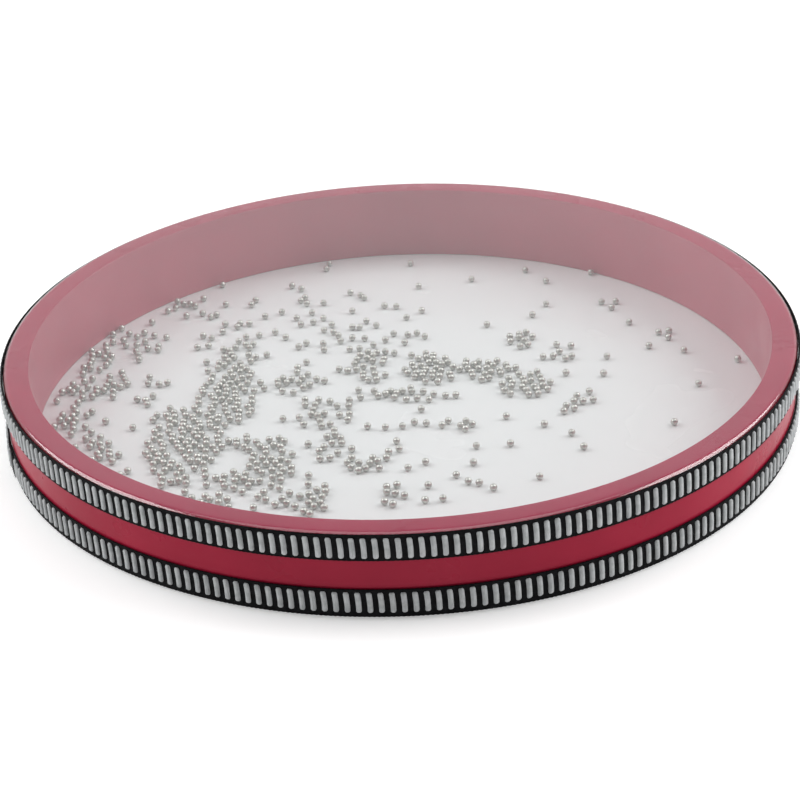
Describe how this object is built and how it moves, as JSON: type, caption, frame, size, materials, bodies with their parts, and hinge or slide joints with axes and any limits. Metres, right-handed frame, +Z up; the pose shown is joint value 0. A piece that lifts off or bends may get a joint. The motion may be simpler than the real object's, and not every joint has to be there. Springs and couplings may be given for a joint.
{
  "type": "ocean drum",
  "caption": "Shallow round hand drum with a red hoop, two braids, a clear upper head and a white lower head, between which loose steel beads roll to sound like surf.",
  "frame": {"origin": "middle of the white head's underside, on the surface that the drum lies on", "axes": "+Z up along the drum's axis, through the clear head; -Y towards the viewer of the picture"},
  "size_m": [0.3034, 0.3034, 0.0316],
  "materials": {
    "red_lacquer": "gloss red paint on bent laminated wood",
    "clear_film": "clear polyester film",
    "white_film": "opaque glossy white polyester film",
    "black_yarn": "black woven braid",
    "white_yarn": "white yarn bars of the braid",
    "steel_bead": "plain bright steel shot",
    "staple_wire": "galvanised staple wire"
  },
  "bodies": {
    "drum": {"outer_ply": "red_lacquer", "core_ply": "red_lacquer", "inner_ply": "red_lacquer", "clear_head": "clear_film", "white_head": "white_film", "upper_staples": "staple_wire", "lower_staples": "staple_wire", "upper_tape": "black_yarn", "upper_bars": "white_yarn", "lower_tape": "black_yarn", "lower_bars": "white_yarn"},
    "bead_core": {"beads_core": "steel_bead"},
    "bead_ring_1": {"beads_ring_1": "steel_bead"},
    "bead_ring_2": {"beads_ring_2": "steel_bead"},
    "bead_ring_3": {"beads_ring_3": "steel_bead"},
    "bead_ring_4": {"beads_ring_4": "steel_bead"},
    "bead_ring_5": {"beads_ring_5": "steel_bead"},
    "bead_ring_6": {"beads_ring_6": "steel_bead"},
    "bead_ring_7": {"beads_ring_7": "steel_bead"},
    "bead_ring_8": {"beads_ring_8": "steel_bead"}
  },
  "joints": [
    {"name": "bead_fall", "type": "slide", "parent": "drum", "child": "bead_core", "axis": [0, 0, 1], "range_m": [0, 0.0278]},
    {"name": "ring_1_swirl", "type": "hinge", "parent": "bead_core", "child": "bead_ring_1", "pos_m": [0, 0, 0.00185], "axis": [0, 0, 1], "continuous": true},
    {"name": "ring_2_swirl", "type": "hinge", "parent": "bead_core", "child": "bead_ring_2", "pos_m": [0, 0, 0.00185], "axis": [0, 0, 1], "continuous": true},
    {"name": "ring_3_swirl", "type": "hinge", "parent": "bead_core", "child": "bead_ring_3", "pos_m": [0, 0, 0.00185], "axis": [0, 0, 1], "continuous": true},
    {"name": "ring_4_swirl", "type": "hinge", "parent": "bead_core", "child": "bead_ring_4", "pos_m": [0, 0, 0.00185], "axis": [0, 0, 1], "continuous": true},
    {"name": "ring_5_swirl", "type": "hinge", "parent": "bead_core", "child": "bead_ring_5", "pos_m": [0, 0, 0.00185], "axis": [0, 0, 1], "continuous": true},
    {"name": "ring_6_swirl", "type": "hinge", "parent": "bead_core", "child": "bead_ring_6", "pos_m": [0, 0, 0.00185], "axis": [0, 0, 1], "continuous": true},
    {"name": "ring_7_swirl", "type": "hinge", "parent": "bead_core", "child": "bead_ring_7", "pos_m": [0, 0, 0.00185], "axis": [0, 0, 1], "continuous": true},
    {"name": "ring_8_swirl", "type": "hinge", "parent": "bead_core", "child": "bead_ring_8", "pos_m": [0, 0, 0.00185], "axis": [0, 0, 1], "continuous": true}
  ]
}
